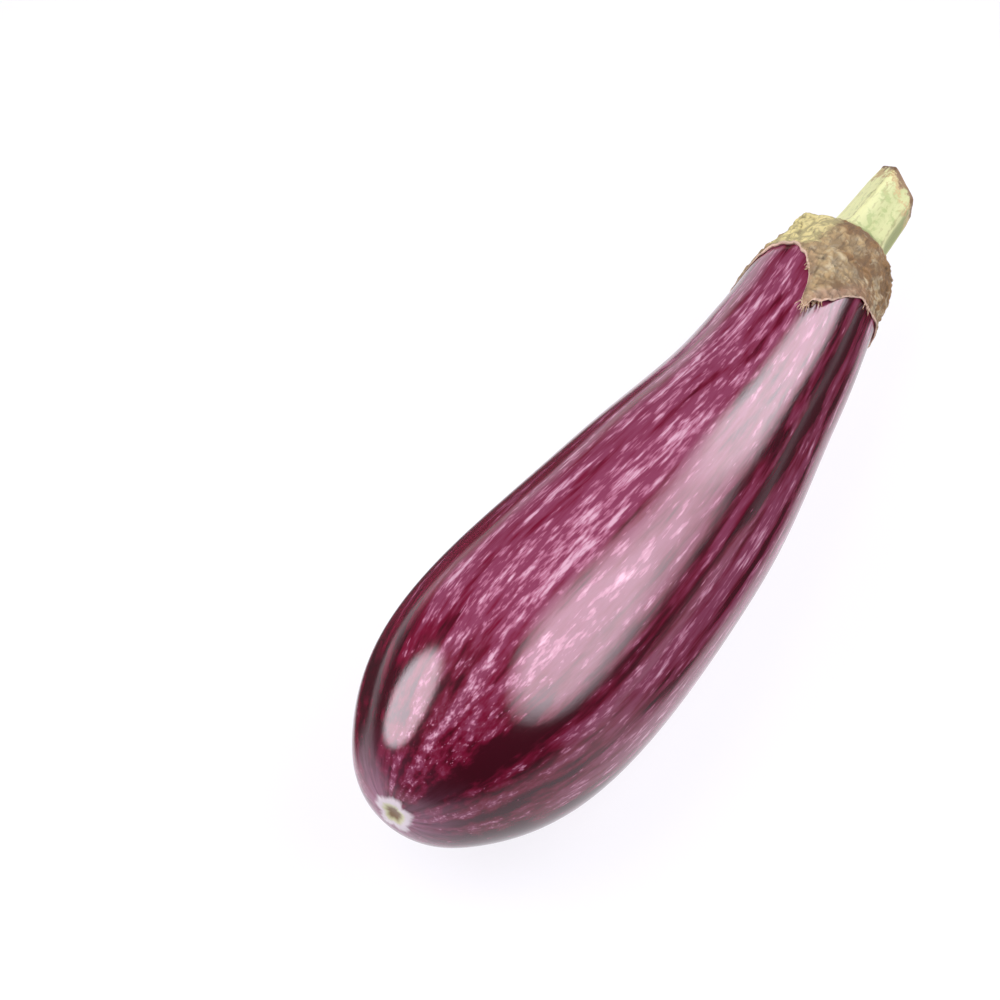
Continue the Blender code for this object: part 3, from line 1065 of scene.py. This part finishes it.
def growStem():
    foot = fruitBody["length"] + 3 * calyxCap["gap"]
    start = calyxCap["crownAt"] + calyxCap["gap"]
    root = calyxCap["rootRadius"]
    step = 2e-5  # between the rings of a flat end, so that the line keeps its direction
    stations = [
        (foot, 0.0, 0.0),
        (foot + step, root * 0.5, -step),
        (foot + 2 * step, root * 0.95, -2 * step),
        (foot + 0.0002, root, 0.0),
        (start - 0.0002, root, 0.0),
    ]
    rings = stemPost["rings"]
    for i in range(rings + 1):
        distance = start + (stemPost["end"] - start) * i / rings
        stations.append((distance, smoothCurve(stemPost["profile"], distance - calyxCap["crownAt"]), 0.0))
    last = stations[-1][1]
    cutRings, flat = stemPost["cutRings"], stemPost["cutFlat"]
    for i in range(1, cutRings + 1):
        share = 1 - i / cutRings
        rounding = math.sqrt(1 - max(0.0, (share - flat) / (1 - flat)) ** 2)
        dish = between(flat - share, 0.0, 0.5)
        above = stemPost["cutRound"] * rounding - stemPost["cutDish"] * dish
        stations.append((stemPost["end"] + i * step, last * share, above - i * step))
    inputs = {
        "Sides": stemPost["sides"],
        "Foot": start,
        "End": stemPost["end"],
        "Ribs": stemPost["ribs"],
        "First Rib": math.radians(stemPost["firstRib"]),
        "Rib Height": stemPost["ribHeight"],
        "Cut Slant": stemPost["cutSlant"],
        "Cut High Side": math.radians(stemPost["cutHighSide"]),
        "Finish": paintStem(),
    }
    stem = sweep("stemPost", stations, inputs, shapeStem)
    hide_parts("stem")
    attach(stem, "root")


stemLook = {
    # pale: the painted lit colour of the left face, also the painted highlight on the rib
    "pale": ink(232, 234, 174),
    "green": ink(142, 164, 92),
    # middle and shaded: the same green painted half lit on the middle face and in shade on the right face
    "middle": ink(192, 198, 138),
    "shaded": ink(150, 158, 92),
    # furrow: painted shade beside the rib and in the fine lengthwise grooves
    "furrow": ink(122, 112, 58),
    "tan": ink(196, 172, 118),
    "dry": ink(116, 86, 54),
    "cut": ink(150, 122, 80),
}


def paintStem():
    material, maker, shader = newMaterial("greenStem")
    x, y, along = growthParts(maker)
    fromAxis = maker.add("ShaderNodeAttribute", {"attribute_name": "fromAxis"}, {}, "Fac")
    angle = y.math("ARCTAN2", x)
    half = (angle - math.radians(stemPost["firstRib"])) * (stemPost["ribs"] / 2)
    wobble = (maker.cloud(maker.join(along * 300.0, 0.5, 0.5), 1.0, 2.0) - 0.5) * 0.5
    ribHighlight = 1.0 - half.math("SINE").math("ABSOLUTE")
    ribShade = 1.0 - (half + 0.16 + wobble).math("SINE").math("ABSOLUTE")
    place = maker.join(x * 8.0, y * 8.0, along * 1000.0)
    lengthwise = maker.cloud(maker.join(x * 8.0, y * 8.0, along * 160.0), 1.6, 3.0, 0.6)
    mottle = maker.cloud(place, 0.4, 4.0, 0.62, 0.5)
    # painted light and shade by face: lit on the left, half lit in the middle, shaded on the right
    middleFace = sideMask(x, y, 113, 8.0)
    shadedFace = sideMask(x, y, 182, 5.0)
    colour = maker.mix(middleFace, stemLook["pale"], stemLook["middle"])
    colour = maker.mix((shadedFace * 1.3).within(), colour, stemLook["shaded"])
    greened = maker.rise(mottle + (middleFace - 0.5) * 0.12, 0.50, 0.64)
    colour = maker.mix(greened * 0.55, colour, stemLook["green"])
    # painted highlight along the rib's crest
    colour = maker.mix(maker.rise(ribHighlight, 0.80, 0.98) * 0.7, colour, stemLook["pale"])
    # painted shade in a thin line beside the rib's crest
    brownedAndShaded = maker.rise(ribShade + (mottle - 0.5) * 0.5, 0.90, 1.0)
    colour = maker.mix(brownedAndShaded * 0.45, colour, stemLook["furrow"])
    # painted shade in the fine lengthwise grooves of the bump
    threads = 1.0 - maker.rise(lengthwise, 0.33, 0.46)
    colour = maker.mix(threads * 0.3, colour, stemLook["furrow"])
    high = math.radians(stemPost["cutHighSide"])
    slanted = (x * math.cos(high) + y * math.sin(high)) * fromAxis * stemPost["cutSlant"]
    toEnd = along - slanted - stemPost["end"]  # 0 at the rim of the cut
    patches = maker.rise(mottle + maker.rise(toEnd, -0.0085, -0.001) * 0.2, 0.60, 0.70)
    colour = maker.mix(patches * maker.rise(toEnd, -0.009, -0.004), colour, stemLook["tan"])
    dryEdge = maker.rise(toEnd + (mottle - 0.5) * 0.007 + middleFace * 0.0006, -0.0017, -0.0004)
    colour = maker.mix(dryEdge, colour, stemLook["dry"])
    onCut = (1.0 - maker.rise(fromAxis, 0.0050, 0.0058)) * maker.rise(toEnd, -0.003, -0.001)
    colour = maker.mix(onCut, colour, stemLook["cut"])
    bump = maker.add(
        "ShaderNodeBump", {}, {"Strength": 0.5, "Distance": 0.0004, "Height": lengthwise + mottle * 0.5}
    )
    feed(maker, shader, {"Base Color": colour, "Roughness": 0.55, "Normal": bump})
    return material


growStem()
print("stem grown")


# Stage

studio = {
    "floorReach": 3.0,
    "floorColour": (0.15, 0.15, 0.155, 1.0),
    "farColour": (0.30, 0.30, 0.31, 1.0),
    "glowColour": (0.80, 0.79, 0.83, 1.0),
    "glowStrength": 1.05,
    "glowMiddle": (-0.03, 0.03, 0.0),
    "glowWithin": 0.165,  # the floor's soft glow is full to here, and gone at the next
    "glowEnds": 0.42,
    "worldColour": (0.8, 0.8, 0.88, 1.0),
    "worldStrength": 0.12,
    "flagColour": (0.01, 0.01, 0.01, 1.0),
    "panelStep": 0.005,  # between the panels of a softbox, so that each one counts
    "edges": {  # each softbox is a stack of panels of these sizes
        "soft": (0.66, 0.78, 0.9, 1.02, 1.14),
        "crisp": (0.86, 0.93, 1.0, 1.07),
    },
}
softboxes = {  # two light the scene unseen, and the others show only as reflections
    "key": {
        "azimuth": -150, "rise": 58, "away": 1.0, "across": 0.0, "up": 0.0, "size": (1.0, 1.0),
        "radiance": 4.7, "colour": (1.0, 0.97, 1.0), "edge": "soft", "reflected": False,
    },
    "front": {
        "azimuth": 38, "rise": 50, "away": 1.0, "across": -0.2, "up": 0.0, "size": (1.0, 1.0),
        "radiance": 3.7, "colour": (1.0, 0.97, 1.0), "edge": "soft", "reflected": False,
    },
    "window": {
        "azimuth": -165, "rise": 25, "away": 0.6, "across": 0.13, "up": 0.10, "size": (0.46, 0.46),
        "radiance": 9.8, "colour": (0.98, 0.96, 1.0), "edge": "crisp", "reflected": True,
    },
    "ridge": {
        "azimuth": 38, "rise": 40, "away": 0.7, "across": -0.13, "up": 0.15, "size": (1.02, 0.89),
        "radiance": 8.2, "colour": (0.98, 0.96, 1.0), "edge": "soft", "reflected": True,
    },
    "ridgeSide": {
        "azimuth": 38, "rise": 40, "away": 0.7, "across": 0.44, "up": -0.12, "size": (0.60, 0.52),
        "radiance": 9.0, "colour": (0.98, 0.96, 1.0), "edge": "soft", "reflected": True,
    },
}
flags = {  # dark cards beside the fruit, which only its reflections show
    "rightFlag": {
        "middle": (0.072, -0.098, 0.0006), "half": (0.128, 0.073), "soft": (0.05, 0.012), "turn": 12.4,
    },
    "leftFlag": {
        "middle": (-0.012, 0.112, 0.0006), "half": (0.118, 0.066), "soft": (0.04, 0.012), "turn": 0.0,
    },
}


def layCard(name, corners, material):
    mesh = bpy.data.meshes.new(name)
    mesh.from_pydata(corners, [], [(0, 1, 2, 3)])
    mesh.materials.append(material)
    return addObject(name, mesh)


def layFlag(name, place):
    middle, (reach, depth) = Vector(place["middle"]), place["half"]
    turn = math.radians(place["turn"])
    length = Vector((math.cos(turn), math.sin(turn), 0))
    width = Vector((-math.sin(turn), math.cos(turn), 0))
    signs = ((-1, -1), (1, -1), (1, 1), (-1, 1))
    corners = [middle + length * reach * a + width * depth * b for a, b in signs]
    material, maker, shader = newMaterial(name)
    fromMiddle = maker.add("ShaderNodeTexCoord", {}, {}, "Object").minus(middle)
    alpha = 1.0
    for axis, half, soft in ((length, reach, place["soft"][0]), (width, depth, place["soft"][1])):
        alpha = (1.0 - maker.rise(fromMiddle.dot(axis).math("ABSOLUTE"), half - soft, half)) * alpha
    feed(maker, shader, {"Base Color": studio["flagColour"], "Roughness": 1.0, "Alpha": alpha})
    flag = layCard(name, corners, material)
    flag.visible_camera = False
    flag.visible_diffuse = False
    flag.visible_shadow = False


def buildStage():
    # a pale floor that glows softly round the fruit, and the flags on it
    reach = studio["floorReach"]
    corners = [(-reach, -reach, 0), (reach, -reach, 0), (reach, reach, 0), (-reach, reach, 0)]
    material, maker, shader = newMaterial("paleFloor")
    place = maker.add("ShaderNodeTexCoord", {}, {}, "Object")
    fromMiddle = place.minus(studio["glowMiddle"]).vector("LENGTH", {}, 1)
    glow = 1.0 - maker.rise(fromMiddle, studio["glowWithin"], studio["glowEnds"])
    values = {
        "Base Color": maker.mix(glow, studio["farColour"], studio["floorColour"]),
        "Roughness": 0.9,
        "Emission Color": maker.mix(glow, (0.0, 0.0, 0.0, 1.0), studio["glowColour"]),
        "Emission Strength": studio["glowStrength"],
    }
    feed(maker, shader, values)
    layCard("floor", corners, material)
    for name, place in flags.items():
        layFlag(name, place)


def hangSoftbox(name, place):
    # a stack of panels that face the middle of the frame, shifted across and up in their own plane
    turn, rise = math.radians(place["azimuth"]), math.radians(place["rise"])
    level = math.cos(rise)
    towards = Vector((math.sin(turn) * level, -math.cos(turn) * level, math.sin(rise)))
    across = Vector((math.cos(turn), math.sin(turn), 0))
    up = towards.cross(across)
    middle = towards * place["away"] + across * place["across"] + up * place["up"]
    facing = Matrix((across, up, towards)).transposed().to_4x4()
    panels = studio["edges"][place["edge"]]
    for i, share in enumerate(panels):
        width, tall = (side * share for side in place["size"])
        data = bpy.data.lights.new(name, "AREA")
        data.shape = "ELLIPSE"
        data.size = width
        data.size_y = tall
        data.energy = place["radiance"] / len(panels) * math.pi**2 / 4 * width * tall
        data.color = place["colour"]
        lamp = addObject(name, data)
        lamp.matrix_world = Matrix.Translation(middle + towards * studio["panelStep"] * i) @ facing
        lamp.visible_camera = False
        lamp.visible_glossy = place["reflected"]
        lamp.visible_diffuse = not place["reflected"]


def lightStudio():
    world = bpy.data.worlds.new("studio")
    world.use_nodes = True
    background = world.node_tree.nodes["Background"]
    background.inputs["Color"].default_value = studio["worldColour"]
    background.inputs["Strength"].default_value = studio["worldStrength"]
    bpy.context.scene.world = world
    for name, place in softboxes.items():
        hangSoftbox(name, place)
    bpy.context.scene.view_settings.view_transform = "Standard"


buildStage()
lightStudio()
print("stage lit")
